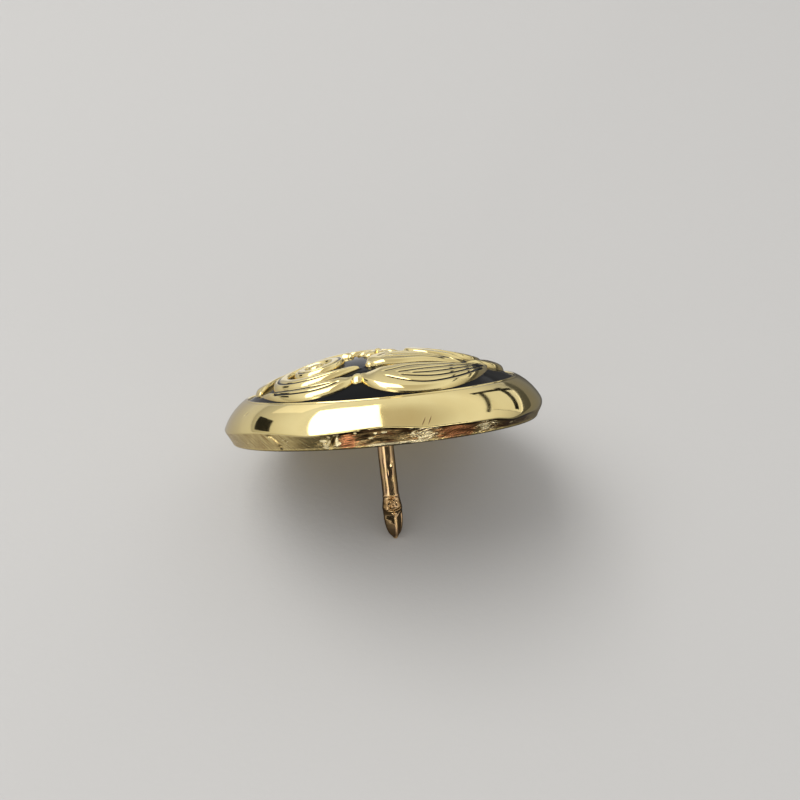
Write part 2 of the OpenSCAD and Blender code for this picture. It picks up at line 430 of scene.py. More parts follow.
def rim_profile(angle, m):
    """Radius and height of the rim's section at each angle, and each step's finish.

    The section runs on a sphere from the bed's middle, up the lip and round its bead, down the bevel's arc,
    round the crease on a quadratic Bezier curve, straight down the band, round the back edge, over its flat,
    and on a sphere to the middle of the hollow back.
    """
    crease_z = crease_height(angle)
    middle_r, middle_z = bevel_centre(m)
    slope_end = np.arccos((crease_z - middle_z) / BEVEL_ROUND)
    crease_r = middle_r + BEVEL_ROUND * np.sin(slope_end)
    # The crease is worn rounder at the right end
    corner = 0.09 + 0.3 * between(np.degrees(angle), (-50, -22), (20, 60))
    parts = []

    def put(radius, height, zone):
        radius, height = np.broadcast_arrays(radius + 0 * angle, height + 0 * angle)
        parts.append((np.atleast_2d(radius), np.atleast_2d(height), zone))

    bed = m.lip_in * np.sin(np.linspace(0.03, 1, 8)[:, None] * np.pi / 2)
    put(bed, m.face_z + np.sqrt(m.bed_r**2 - bed**2), SATIN)
    bed_z = m.face_z + np.sqrt(m.bed_r**2 - m.lip_in**2)
    bead_z = m.lip_h - LIP_BEAD / 2
    put(m.lip_in, bed_z + (bead_z - bed_z) * np.linspace(0.2, 0.95, 4)[:, None], POLISHED)
    t = np.radians(np.linspace(180, -8, 14))[:, None]
    put(m.lip_in + LIP_BEAD + LIP_BEAD * np.cos(t), bead_z + LIP_BEAD * np.sin(t), POLISHED)
    bevel_end = slope_end - corner / BEVEL_ROUND
    slope = np.radians(BEVEL_START) + (bevel_end - np.radians(BEVEL_START)) * np.linspace(0, 1, 26)[:, None]
    put(middle_r + BEVEL_ROUND * np.sin(slope), middle_z + BEVEL_ROUND * np.cos(slope), POLISHED)
    start = np.array([middle_r + BEVEL_ROUND * np.sin(bevel_end), middle_z + BEVEL_ROUND * np.cos(bevel_end)])
    way = np.array([m.foot_r - crease_r, m.round - crease_z])
    way = way / np.linalg.norm(way, axis=0)
    crease = np.array([crease_r, crease_z])
    end = crease + corner * way
    for k in np.linspace(0.2, 0.8, 4):
        put(*((1 - k) ** 2 * start + 2 * k * (1 - k) * crease + k * k * end), POLISHED)
    foot = np.array([[m.foot_r], [m.round]])
    for k in np.linspace(0, 0.96, 21):
        put(*(end + (foot - end) * k), FILED)
    edge_r = m.foot_r - m.round
    t = np.radians(np.linspace(0, -90, 8))[:, None]
    put(edge_r + m.round * np.cos(t), m.round + m.round * np.sin(t), FILED)
    inner_r = BACK_IN + BACK_ROUND
    put(edge_r + (inner_r - edge_r) * np.linspace(0.15, 1, 4)[:, None], 0, SATIN)
    t = np.radians(np.linspace(-75, 0, 4))[:, None]
    put(inner_r - BACK_ROUND * np.cos(t), BACK_ROUND + BACK_ROUND * np.sin(t), SATIN)
    corner_z = m.face_z + np.sqrt(m.back_r**2 - BACK_IN**2)
    put(BACK_IN, BACK_ROUND + (corner_z - BACK_ROUND) * np.linspace(0.3, 0.85, 3)[:, None], SATIN)
    back = BACK_IN * np.linspace(0.985, 0.03, 14)[:, None]
    put(back, m.face_z + np.sqrt(m.back_r**2 - back**2), SATIN)
    radius = np.concatenate([p[0] for p in parts])
    height = np.concatenate([p[1] for p in parts])
    zone = np.concatenate([np.full(len(p[0]), p[2]) for p in parts])
    return radius, height, zone


def bevel_centre(m):
    """Centre of the bevel's arc.

    It is on the inner side of the chord from the lip's outer edge to the crease, as far from both as the
    arc's radius.
    """
    lip = np.array([m.lip_in + LIP_WIDE, m.lip_h])
    crease = np.array([m.disc_r, CREASE_HIGH])
    chord = crease - lip
    side = np.array([chord[1], -chord[0]]) / np.linalg.norm(chord)
    return (lip + crease) / 2 + side * np.sqrt(BEVEL_ROUND**2 - (chord @ chord) / 4)


def gouges(along, height, seed):
    """Depth of the knocks and the file's marks in the band: each is a dent, some at seeded places."""
    rng = np.random.default_rng(seed)
    marks = [(np.radians(degrees) * RIM_RADIUS + past, *mark) for degrees, past, *mark in KNOCKS]
    for low, high, count, long, deep in FILE_MARKS:
        marks += [
            (
                np.radians(rng.uniform(low, high)) * RIM_RADIUS, rng.uniform(*MARK_HEIGHTS),
                rng.uniform(*long), rng.uniform(*MARK_WIDTHS), rng.uniform(*MARK_LEANS), rng.uniform(*deep),
            )
            for _ in range(count)
        ]
    depth = np.zeros_like(height)
    turn = 2 * np.pi * RIM_RADIUS
    for place, level, long, wide, lean, deep in marks:
        off = (along - place + turn / 2) % turn - turn / 2
        depth += deep * dent(off, height - level, long, wide, lean)
    return depth


def rim_skin(m):
    """The struck disc without its scrolls: the section carried round the axis.

    Along the section's normal, the file's marks and waves are pressed into the band, a burr stands on its
    lower edge right of the nick, and the bevel has a faint long wave.
    """
    columns = 800
    angle = np.linspace(-np.pi, np.pi, columns, endpoint=False)
    degrees = np.degrees(angle)
    along = angle * RIM_RADIUS
    radius, height, zone = rim_profile(angle, m)
    d_r, d_z = np.gradient(radius, axis=0), np.gradient(height, axis=0)
    steep = np.hypot(d_r, d_z)
    normal_r, normal_z = -d_z / steep, d_r / steep
    band = (zone == FILED)[:, None] * smooth_step(height, 0.02, 0.12)
    torn = between(degrees, (-112, -100), (-30, -10))
    wave = ripples(along, height, 11, 16, 0.8, 0.28, 6.0) * (0.002 + 0.008 * torn)
    wave = wave + ripples(along, height, 12, 8, 5.0, 2.2) * 0.006
    burr = BURR * np.clip((0.38 - height) / 0.22, 0, 1) * smooth_step(height, 0, 0.12)
    burr = burr * between(degrees, (-112, -104), (-58, -44))
    burr = burr * (0.75 + 0.25 * ripples(along, 0 * along, 14, 8, 3.0, 0.8))
    push = band * (wave - gouges(np.broadcast_to(along, height.shape), height, 21))
    push = push + (zone > 0)[:, None] * (radius > BACK_IN + 0.3) * burr
    push = push + (zone == POLISHED)[:, None] * 0.002 * ripples(along, height, 13, 6, 7.0, 3.0)
    radius = radius + normal_r * push
    height = np.maximum(height + normal_z * push, 0)
    rings = np.stack([radius * np.cos(angle), radius * np.sin(angle), height], -1)
    path = np.r_[0, np.cumsum(np.hypot(np.diff(radius[:, 0]), np.diff(height[:, 0])))]
    path = path - path[np.argmax(zone == FILED)]
    round_mm = np.linspace(-np.pi, np.pi, columns + 1) * RIM_RADIUS
    flow = np.stack(np.meshgrid(round_mm, path, indexing="xy"), -1)
    return skin(rings, flow, zone[1:])


# Scrolls


def curve(path, u):
    """Point and direction of a cubic Bezier curve.

    The point is its four corners, weighted by the powers of u and 1 - u, and the direction its derivative.
    """
    a, b, c, d = (np.array(p) for p in path[:4])
    u = u[:, None]
    point = (1 - u) ** 3 * a + 3 * (1 - u) ** 2 * u * b + 3 * (1 - u) * u * u * c + u**3 * d
    speed = 3 * ((1 - u) ** 2 * (b - a) + 2 * (1 - u) * u * (c - b) + u * u * (d - c))
    return point, speed


def leaf_half(path, u):
    """Half width of a leaf: its start's, shrinking evenly to the tip, plus a sine of u to the 0.8."""
    u = np.maximum(u, 0)
    return np.maximum(path[5] * (1 - u) + path[4] * np.sin(np.pi * u**0.8), 0)


def rounded_start(walked, radius):
    """Share of the full half width near a round start: a circle's chord at that distance walked."""
    t = np.clip(walked / radius, 0, 1)
    return np.sqrt(1 - (1 - t) ** 2)


def leaf_track(path, rows):
    """A leaf's middle line, its sideways direction and its half width, from its round start to its tip."""
    first = -path[5] / np.linalg.norm(3 * (np.array(path[1]) - path[0]))
    u = np.linspace(first, 1, rows)
    middle, speed = curve(path, u)
    pace = np.linalg.norm(speed, axis=1)
    side = np.stack([-speed[:, 1], speed[:, 0]], -1) / pace[:, None]
    half = leaf_half(path, u) * rounded_start((u - first) * pace, path[5]) + END_HALF
    rise = (0.7 + 0.3 * smooth_step(u, 0, 0.12)) * (1 - 0.2 * u**3)
    return SimpleNamespace(u=u, middle=middle, side=side, half=half, rise=rise, fan=True)


def volute_place(t):
    """Distance from the volute's middle, angle and half width at t from 0 to 1.

    It winds in with the square root of t, and narrows a little.
    """
    reach = VOLUTE.outer + (VOLUTE.inner - VOLUTE.outer) * np.sqrt(t)
    angle = np.radians(VOLUTE.start - VOLUTE.turn * t)
    half = VOLUTE.half * (1 - 0.3 * t) * np.minimum(1, 0.25 + 8 * t)
    return reach, angle, half


def volute_track(rows):
    """The winding stem's middle line, its sideways direction and its half width."""
    t = np.linspace(0, 1, rows) ** 1.15
    reach, angle, half = volute_place(t)
    side = np.stack([np.cos(angle), np.sin(angle)], -1)
    half = half * rounded_start(t, 0.012) + END_HALF
    rise = 0.8 + 0.2 * smooth_step(t, 0, 0.08)
    middle = np.array(VOLUTE.middle) + reach[:, None] * side
    return SimpleNamespace(u=t, middle=middle, side=side, half=half, rise=rise, fan=False)


def scroll_lift(track, v, height, crest):
    """Height of a scroll above the enamel at share v of its half width.

    It has a flat top, shoulders that are a quarter circle across SHOULDER, and a low parabolic arch over it.
    """
    half = track.half[:, None]
    edge = np.clip(half * (1 - np.abs(v)) / np.minimum(SHOULDER, half), 0, 1)
    tall = height * (track.rise * np.sqrt(np.clip(track.half / 0.25, 0, 1)))[:, None]
    return tall * np.sqrt(1 - (1 - edge) ** 2) + crest * np.minimum(half, 1.2) * (1 - v**2)


def line_course(track, line):
    """Place of a line as a share of the half width, and its strength along the scroll.

    On a leaf it starts at the middle and fans out to its share.
    """
    share, start, stop = line
    fan = smooth_step(track.u, start - 0.12, start + 0.3) ** 0.8 if track.fan else np.ones_like(track.u)
    return share * fan, between(track.u, (start, start + 0.05), (stop - 0.06, stop))


def scroll_skin(track, m, angle, height, across, lines=(), crest=0.06):
    """A scroll carried along its track, then straight down at the sides and back underneath.

    A groove of Gaussian section is pressed in along each line.
    """
    rows = len(track.u)
    v = np.sin(np.linspace(-1, 1, across) * np.pi / 2)
    v = np.r_[v, np.linspace(1, -1, 6)] * np.ones((rows, 1))
    under = np.arange(across + 6) >= across
    lift = scroll_lift(track, v, height, crest)
    for line in lines:
        place, held = line_course(track, line)
        off = (v - place[:, None]) * track.half[:, None]
        width = LINE_HALF * (0.4 + 0.6 * held[:, None])
        lift = lift - LINE_DEEP * held[:, None] * np.exp(-((off / width) ** 2))
    lift = np.where(under, -SINK, lift)
    spot = track.middle[:, None] + track.side[:, None] * (track.half[:, None] * v)[..., None]
    rings = turned(on_dome(spot[..., 0], spot[..., 1], m.enamel_r + lift, m), angle)
    flow = plain_flow(rings)
    flow[..., 1] = np.concatenate([lift, lift[:, :1]], 1)
    return skin(rings, flow)


def line_skin(track, line, m, angle, height, crest=0.06):
    """The enamel in one line, carried along it: a low arch just under the gold's top, closed below."""
    place, held = line_course(track, line)
    kept = held > 0.02
    part = SimpleNamespace(**{k: value[kept] if k != "fan" else value for k, value in vars(track).items()})
    place, held = place[kept], held[kept][:, None]
    width = LINE_HALF * (0.4 + 0.6 * held) * INLAY_WIDE
    shift = np.r_[np.linspace(-1, 1, 7), 0.5, -0.5]
    top = np.r_[0, 0.6, 0.9, 1, 0.9, 0.6, 0, 0, 0]
    underneath = np.arange(9) >= 7
    v = place[:, None] + shift * width / part.half[:, None]
    level = scroll_lift(part, place[:, None], height, crest)
    lift = level - INLAY_DOWN + INLAY_ARCH * top - INLAY_DOWN * (1 - held)
    lift = np.where(underneath, level - INLAY_DEEP, lift)
    spot = part.middle[:, None] + part.side[:, None] * (part.half[:, None] * v)[..., None]
    rings = turned(on_dome(spot[..., 0], spot[..., 1], m.enamel_r + lift, m), angle)
    return skin(rings, plain_flow(rings))


def boss_skin(middle, outline, m, angle, height, shape, rings=26, columns=96):
    """A boss on the face: rings of plan points from its middle to its outline, then down and back underneath.

    Their height is height times shape, which takes the share of the way out and the angle.
    """
    way = np.linspace(0, 2 * np.pi, columns, endpoint=False)
    out = np.sin(np.linspace(0.03, 1, rings) * np.pi / 2)[:, None]
    share = np.concatenate([out, [[1.0]], [[0.6]], [[0.1]]])
    edge = outline(way)
    x = middle[0] + share * edge * np.cos(way)
    y = middle[1] + share * edge * np.sin(way)
    lift = np.concatenate([height * shape(out, way) * np.ones_like(way), np.full((3, columns), -SINK)])
    points = turned(on_dome(x, y, m.enamel_r + lift, m), angle)
    flow = plain_flow(points)
    flow[..., 1] = np.concatenate([lift, lift[:, :1]], 1)
    return skin(points, flow)


def round_edge(radius):
    """Outline of a round boss: the same distance at each angle."""
    return lambda way: radius + 0 * way


def dome_shape(share, way):
    """A rounded button: the square root of one less the share squared."""
    return np.sqrt(np.maximum(1 - share**2, 0)) + 0 * way


def ringed_shape(share, way):
    """A rounded button with a Gaussian groove cut round it near its edge."""
    return dome_shape(share, way) - 0.4 * np.exp(-(((share - 0.68) / 0.07) ** 2))


def petal_offset(way):
    """Angle from the middle of the nearest petal."""
    half = np.pi / ROSETTE.petals
    return (way + half) % (2 * half) - half


def rosette_edge(way):
    """Distance to the rosette's outline.

    It is the boss's circle, or the far side of a petal's circle where that is further.
    """
    off = petal_offset(way)
    inside = np.maximum(ROSETTE.petal**2 - (ROSETTE.boss * np.sin(off)) ** 2, 0)
    return np.maximum(ROSETTE.boss, ROSETTE.boss * np.cos(off) + np.sqrt(inside))


def rosette_shape(share, way):
    """Petals: a pillow from the middle to the edge.

    A Gaussian groove parts each two petals, and a shallower one runs down the middle of each.
    """
    off = petal_offset(way)
    pillow = np.maximum(1 - share**4, 0) ** 0.5
    out = share * 1.3
    gap = (np.pi / ROSETTE.petals - np.abs(off)) * out
    groove = np.exp(-((gap / 0.09) ** 2)) * smooth_step(share, 0.3, 0.5)
    vein = 0.18 * np.exp(-((off * out / 0.08) ** 2)) * smooth_step(share, 0.4, 0.55)
    return pillow * (0.9 + 0.1 * share) * (1 - 0.75 * groove - vein)


def outlines():
    """Plan points along the outlines of all that is raised on the face, for the enamel to creep up to."""
    found = []
    tracks = [leaf_track(path, 140) for path in (RIM_LEAF, RIM_SPRIG, INNER_LEAF, SMALL_LEAF, BUD)]
    for track in tracks + [volute_track(360)]:
        found += [track.middle + k * track.side * track.half[:, None] for k in (-1, 1)]
    t = np.linspace(0, 2 * np.pi, 60)
    ray = np.stack([np.cos(t), np.sin(t)], -1)
    found += [np.array(VOLUTE.middle) + VOLUTE.eye * ray, np.array(BEAD[0]) + BEAD[1] * ray]
    half_face = turned(np.pad(np.concatenate(found), ((0, 0), (0, 1))), SCROLLS_TURN)[:, :2]
    t = np.linspace(0, 2 * np.pi, 200)
    rosette = rosette_edge(t - SCROLLS_TURN)[:, None] * np.stack([np.cos(t), np.sin(t)], -1)
    return np.concatenate([half_face, -half_face, rosette])


def enamel_skin(m):
    """The enamel as one closed lens: polar rings on its sphere, then back underneath on the bed's sphere.

    Its top creeps up to the metal by an exponential of the distance to it, and has a faint seeded wave.
    """
    columns = 520
    way = np.linspace(0, 2 * np.pi, columns, endpoint=False)
    edge = m.lip_in + 0.03
    out = np.linspace(0.004, 1, 132)[:, None] * edge
    x, y = out * np.cos(way), out * np.sin(way)
    metal = outlines()
    near = np.stack([
        np.sqrt(((metal[:, 0, None] - row_x) ** 2 + (metal[:, 1, None] - row_y) ** 2).min(0))
        for row_x, row_y in zip(x, y)
    ])
    near = np.minimum(near, np.abs(m.lip_in - out) + 0 * x)
    creep = CREEP * np.exp(-near / CREEP_REACH) - 0.02
    creep = creep + 0.004 * ripples(x, y, 31, 7, 6.0, 2.5)
    top = on_dome(x, y, m.enamel_r + creep, m)
    back = np.linspace(1, 0.004, 8)[:, None] * edge
    under = on_dome(back * np.cos(way), back * np.sin(way), m.bed_r + 0.02, m)
    rings = np.concatenate([top, under])
    return skin(rings, plain_flow(rings))


# Post

# Pits and ridges in the post: angle in degrees, height, half sizes round and along, lean in degrees and depth
PITS = (
    (-80, -5.24, 0.45, 0.03, 5, 0.05), (-102, -5.4, 0.2, 0.035, 2, -0.04),
    (-60, -5.55, 0.12, 0.1, 0, -0.05), (-109, -5.87, 0.09, 0.07, 0, 0.09),
    (-86, -5.78, 0.08, 0.07, 30, 0.08), (-88, -5.62, 0.2, 0.06, 0, 0.03),
    (-78, -6.1, 0.55, 0.04, 8, 0.07), (-80, -6.24, 0.5, 0.05, 8, -0.035),
    (-89, -6.57, 0.26, 0.045, -40, -0.05), (-48, -6.47, 0.4, 0.045, 40, -0.05),
    (-84, -6.42, 0.11, 0.08, 0, 0.06), (-130, -5.75, 0.1, 0.2, 0, -0.03), (78, -5.7, 0.12, 0.1, 0, 0.12),
    (100, -5.9, 0.1, 0.08, 0, 0.1), (88, -5.45, 0.12, 0.07, 0, 0.08), (-70, -2.9, 0.16, 0.14, 0, 0.03),
    (-62, -2.6, 0.08, 0.2, 0, 0.02), (-100, -3.3, 0.06, 0.25, 0, 0.02),
)
# The crimp's top and end, how far the post leans to the left for each step up, and how squarely and at which
# turn its point is faceted
CRIMP_TOP, CRIMP_END = -5.15, -6.1
POST_LEAN = 0.0155
FACET_POWER = 1.12
FACET_TURN = 11
# Radius on which the crimp's lumps and pits are laid out
CRIMP_RADIUS = 0.7


def post_skin(m):
    """The post: its radius follows the height, and its section turns from a circle to a rounded square.

    The square is 1 / (|cos|^k + |sin|^k)^(1/k), held below its corners by a soft minimum. The crimp above the
    point is cut across at the front and back and pitted. The whole post leans, as the real one does.
    """
    columns = 144
    way = np.linspace(0, 2 * np.pi, columns, endpoint=False)
    back_top = m.face_z + m.back_r
    shaft_top = back_top - SOLDER_ROUND
    tip_r = m.round
    tip = -m.post_l
    fillet = np.radians(np.linspace(0, 90, 18))
    fillet_z = shaft_top + SOLDER_ROUND * np.cos(fillet)
    fillet_r = m.post_r + SOLDER_ROUND - SOLDER_ROUND * np.sin(fillet)
    z = np.r_[
        back_top + 0.5, fillet_z, np.linspace(shaft_top - 0.05, CRIMP_TOP + 0.1, 84),
        np.linspace(CRIMP_TOP + 0.085, CRIMP_END - 0.5, 112), np.linspace(CRIMP_END - 0.52, tip + tip_r, 54),
        tip + tip_r * (1 - np.sin(np.radians(np.linspace(12, 86, 9)))),
    ]
    # The silhouette's half widths as seen from the front, by height
    keys = np.array([
        (back_top + 1, m.post_r + SOLDER_ROUND), (shaft_top - 0.04, m.post_r), (CRIMP_TOP + 0.12, m.post_r),
        (CRIMP_TOP + 0.02, m.post_r + 0.035), (CRIMP_TOP - 0.06, m.post_r + 0.015), (-5.45, 0.665),
        (-5.75, 0.715), (-5.98, 0.765), (-6.12, 0.745), (-6.3, 0.735), (-6.9, 0.725), (-7.25, 0.685),
        (-7.6, 0.61), (-7.9, 0.5), (-8.1, 0.38), (tip + tip_r, tip_r * 1.04),
    ])
    radius = np.interp(-z, -keys[:, 0], keys[:, 1])
    smooth = np.convolve(np.pad(radius, 3, mode="edge"), np.array([1, 3, 5, 6, 5, 3, 1]) / 24, mode="valid")
    radius = np.where(z < CRIMP_END - 0.4, smooth, radius)
    radius[1:19] = fillet_r
    at_tip = z < tip + tip_r
    radius[at_tip] = np.sqrt(np.maximum(tip_r**2 - (z[at_tip] - tip - tip_r) ** 2, 0)) * 1.02
    facet = between(-z, (-CRIMP_END + 0.05, -CRIMP_END + 0.5), (m.post_l - 0.3, m.post_l))
    k = FACET_POWER
    corner = way - np.radians(FACET_TURN)
    square = (np.abs(np.cos(corner)) ** k + np.abs(np.sin(corner)) ** k) ** (-1 / k)
    square = -0.03 * np.log(np.exp(-square / 0.03) + np.exp(-0.965 / 0.03))
    side = np.abs(np.cos(way)) ** 8
    r = radius[:, None] * (1 + facet[:, None] * (np.maximum(square, 0.995 * side) - 1))
    zz = z[:, None]
    crimp = smooth_step(-zz - 0.1 * np.cos(way), -CRIMP_TOP, -CRIMP_TOP + 0.07)
    crimp = crimp * (1 - smooth_step(-zz, -CRIMP_END - 0.12, -CRIMP_END + 0.02))
    facing_out = np.abs(np.sin(way)) ** 3
    lumps = ripples(np.cos(way) * CRIMP_RADIUS, zz, 41, 12, 0.8, 0.25)
    lumps = 0.5 * lumps + 0.5 * ripples(np.sin(way) * CRIMP_RADIUS, zz, 42, 12, 0.8, 0.25)
    r = r - crimp * (0.1 * facing_out + 0.012 * lumps * (0.3 + 0.7 * facing_out))
    for turn, level, wide, tall, lean, deep in PITS:
        off = np.radians((np.degrees(way) - turn + 180) % 360 - 180) * CRIMP_RADIUS
        r = r - deep * dent(off, zz - level, wide, tall, lean)
    shaft = (zz < shaft_top) * (zz > CRIMP_TOP)
    r = r + shaft * 0.004 * ripples(way * m.post_r, zz, 43, 10, 3.0, 0.8)
    blob = smooth_step(zz, shaft_top - 0.3, back_top - 0.2)
    r = r + blob * 0.05 * ripples(np.cos(way), np.sin(way), 44, 6, 2.4, 1.0)
    shift = -POST_LEAN * (zz - tip)
    rings = np.stack([r * np.cos(way) + shift, r * np.sin(way), zz + 0 * r], -1)
    flow = plain_flow(rings)
    flow[..., 0] = z[:, None]
    zones = (z[1:] > shaft_top + 0.05).astype(int)
    return skin(rings, flow, zones)


# Materials

# Marks on the surface round the rim, in millimetres: place round it and down it, half sizes, lean in degrees.
# Two scratches in the bevel, and a ding
SCRATCHES = ((-17.4, -0.5, 0.4, 0.06, -58), (-16.95, -0.55, 0.4, 0.06, -58))
DING = ((-33.1, -1.7, 0.3, 0.09, -40),)
# Where the file went through the plate
BARE_PATCHES = ((-22.8, 0.6, 1.2, 1.1, 0), (-15.0, 0.5, 3.0, 1.4, 0), (-9.84, 0.5, 0.4, 0.2, 0))
# Small cuts in the band, tilted in the bump and paler in colour, partly as a painted highlight
GLINTS = (
    (-20.8, 0.25, 0.18, 0.09, 0), (-20.2, 0.23, 0.26, 0.09, 0), (-21.15, 0.52, 0.3, 0.09, 0),
    (-9.84, 0.5, 0.3, 0.12, 0), (-24.58, 0.43, 0.34, 0.13, 14), (-24.52, 0.74, 0.15, 0.27, -30),
    (-24.22, 0.66, 0.12, 0.36, 36), (-24.5, 0.95, 0.34, 0.08, 10), (-23.6, 0.62, 0.16, 0.44, 8),
    (-23.45, 0.7, 0.2, 0.14, -20), (-23.58, 0.13, 0.26, 0.1, 5), (-24.11, 0.18, 0.18, 0.1, 10),
    (-22.2, 0.12, 0.18, 0.09, 0),
)
# Where the file chattered, how far apart its steps are, and dark marks in the nick and the gouges
CHATTER = ((-17.3, 0.55, 1.7, 1.2, 0), (-12.4, 0.5, 1.6, 0.9, 0))
CHATTER_STEP = 0.15
DARK_MARKS = (
    (-23.95, 0.62, 0.62, 0.11, -53), (-22.6, 0.55, 0.26, 0.07, 0), (-22.8, 0.82, 0.5, 0.06, -3),
    (-28.3, 0.93, 0.24, 0.12, 0), (-21.5, 0.35, 0.9, 0.22, 0), (-21.2, 0.75, 0.7, 0.16, -8),
)
# Stretches round the rim, each with where it fades in and out: torn by the file, darkened all over by painted
# shade, and given a painted highlight along the lower edge
TORN = ((-24.2, -23.4), (-8.0, -6.0))
PAINTED_SHADE_STRETCH = ((-21.2, -20.4), (-18.8, -18.0))
PAINTED_EDGE_HIGHLIGHT = ((-21.6, -20.8), (-17.6, -16.8))
# The crimp's stretch of the post, by height
CRIMPED = ((-6.4, -6.2), (-5.3, -5.1))


def add_node(tree, kind, inputs=None, output=0, **settings):
    """Adds a node with its own settings and gives one of its outputs.

    inputs maps a socket's name or number to a value, or to the output linked to it. Some go by number,
    because their names repeat. Math takes its values at 0 and up. Mix takes its share at 0 and two numbers at
    2 and 3, or two colours at 6 and 7 with its result at output 2. MapRange takes its value at 0, carries it
    from the range 1 to 2 to the range 3 to 4, which is 0 to 1 where it isn't given, and holds it at the ends.
    """
    node = tree.nodes.new("ShaderNode" + kind)
    for key, value in settings.items():
        setattr(node, key, value)
    for key, value in (inputs or {}).items():
        if isinstance(value, bpy.types.NodeSocket):
            tree.links.new(value, node.inputs[key])
        else:
            node.inputs[key].default_value = value
    return node.outputs[output] if node.outputs else None


def per_mm(size):
    """A texture's scale in metres for features of that size in millimetres."""
    return 1 / (size * MM)


def streaks(add, flow, long, short, lean, detail=4.0):
    """Noise over the surface, drawn out along it.

    long and short are the length and breadth of its features in millimetres, and lean turns them in degrees.
    """
    turn = {"Rotation": (0, 0, np.radians(lean)), "Scale": (long, short, 1)}
    place = add("Mapping", {"Vector": flow, **turn}, vector_type="TEXTURE")
    return add("TexNoise", {"Vector": place, "Scale": 1.0, "Detail": detail, "Roughness": 0.6})


def marks(add, flow, table):
    """1 at the middle of each mark in the table and 0 past its edge.

    It is one less the distance from the mark's middle, counted in half sizes, and the largest of them where
    marks overlap.
    """
    total = 0.0
    for x, y, long, wide, lean in table:
        mark = {"Location": (x, y, 0), "Rotation": (0, 0, np.radians(lean)), "Scale": (long, wide, 1)}
        place = add("Mapping", {"Vector": flow, **mark}, vector_type="TEXTURE")
        far = add("VectorMath", {0: place}, "Value", operation="LENGTH")
        near = add("MapRange", {0: far, 3: 1.0, 4: 0.0})
        total = add("Math", {0: near, 1: total}, operation="MAXIMUM")
    return total


def stretch(add, place, ends, most=1.0):
    """most between two fades along place, and 0 outside them: a rising ramp times a falling one."""
    (low, high), (falls, fallen) = ends
    rising = add("MapRange", {0: place, 1: low, 2: high, 4: most})
    falling = add("MapRange", {0: place, 1: falls, 2: fallen, 3: 1.0, 4: 0.0})
    return add("Math", {0: rising, 1: falling}, operation="MULTIPLY")


def polished_gold(add, colours):
    """Thin gold plate over a turned and buffed bevel.

    The eye sees a mirror with a faint wave, two short scratches, a ding and a colour that deepens a little in
    places. The buff's hairlines are a few microns apart, and are drawn 0.07 mm wide so that they show.
    """
    place = add("TexCoord", output="Object")
    flow = add("UVMap", uv_map="surface_mm")
    stain = add("TexNoise", {"Vector": place, "Scale": per_mm(3.5), "Detail": 3.0})
    smear = add("TexNoise", {"Vector": place, "Scale": per_mm(1.4), "Detail": 4.0})
    wave = add("TexNoise", {"Vector": place, "Scale": per_mm(1.8), "Detail": 1.0})
    hairlines = streaks(add, flow, 4.0, 0.07, 0)
    scuffs = streaks(add, flow, 0.35, 0.1, 25, 3.0)
    scratches = marks(add, flow, SCRATCHES)
    ding = marks(add, flow, DING)
    share = add("MapRange", {0: stain, 1: 0.4, 2: 0.75, 4: 0.4})
    colour = add("Mix", {0: share, 6: colours.gold, 7: colours.gold_deep}, 2, data_type="RGBA")
    share = add("MapRange", {0: scratches, 2: 0.6, 4: 0.8})
    colour = add("Mix", {0: share, 6: colour, 7: colours.tarnish}, 2, data_type="RGBA")
    smeared = add("MapRange", {0: smear, 1: 0.35, 2: 0.75, 3: 0.04, 4: 0.11})
    scuffed = add("MapRange", {0: scuffs, 1: 0.62, 2: 0.75, 4: 0.12})
    rough = add("Math", {0: smeared, 1: scuffed}, operation="ADD")
    relief = [(wave, 0.5, 0.006), (hairlines, 0.4, 0.0007), (scratches, 1.0, -0.015), (ding, 1.0, -0.12)]
    relief += [(scuffs, 0.25, 0.0015)]
    return {"Base Color": colour, "Metallic": 1.0, "Roughness": rough}, relief


